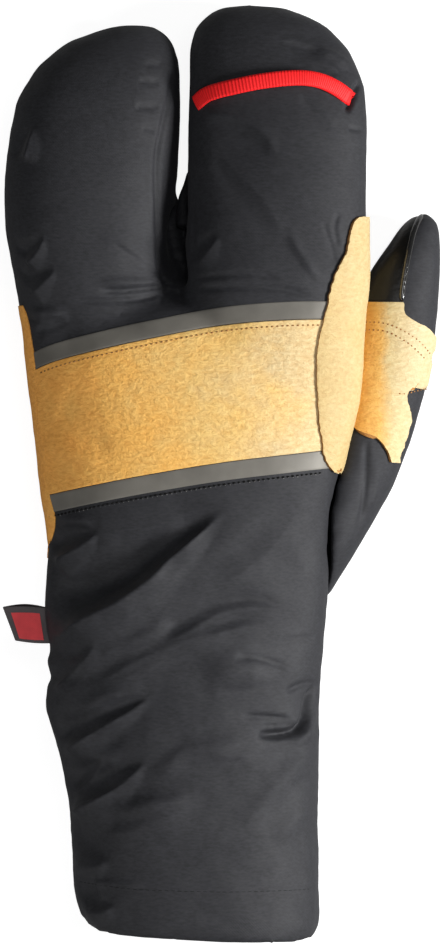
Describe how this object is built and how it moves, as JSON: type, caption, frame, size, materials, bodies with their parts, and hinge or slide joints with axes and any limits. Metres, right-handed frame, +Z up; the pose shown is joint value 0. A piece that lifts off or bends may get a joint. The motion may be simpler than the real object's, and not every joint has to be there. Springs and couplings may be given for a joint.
{
  "type": "split-finger winter cycling mitten",
  "caption": "Padded split-finger winter cycling mitten with a long cuff, leather knuckle band, reflective strips and a red pull loop, lying palm down.",
  "frame": {"origin": "middle of the footprint's bounding box, on the surface that the mitten lies on", "axes": "+Y from the cuff's hem to the fingertips, +X towards the thumb, +Z up from the palm to the back of the hand"},
  "size_m": [0.1532, 0.3298, 0.0561],
  "materials": {
    "softshell": "matte woven softshell",
    "tan_leather": "grained, matte",
    "pale_leather": "grained, raw cut edges",
    "black_leather": "smooth, semi-gloss",
    "reflective_tape": "satin",
    "red_webbing": "ribbed",
    "grey_label": "woven"
  },
  "bodies": {
    "root": {"cuff_gauntlet": "softshell", "hand_shell": "softshell", "thumb_shell": "softshell", "knuckle_band": "tan_leather", "palm_leather": "tan_leather", "index_side_leather": "pale_leather", "thumb_patch": "pale_leather", "upper_tape": "reflective_tape", "lower_tape": "reflective_tape", "thumb_side_leather": "black_leather", "pull_loop": "red_webbing", "side_label": "grey_label"}
  },
  "joints": []
}
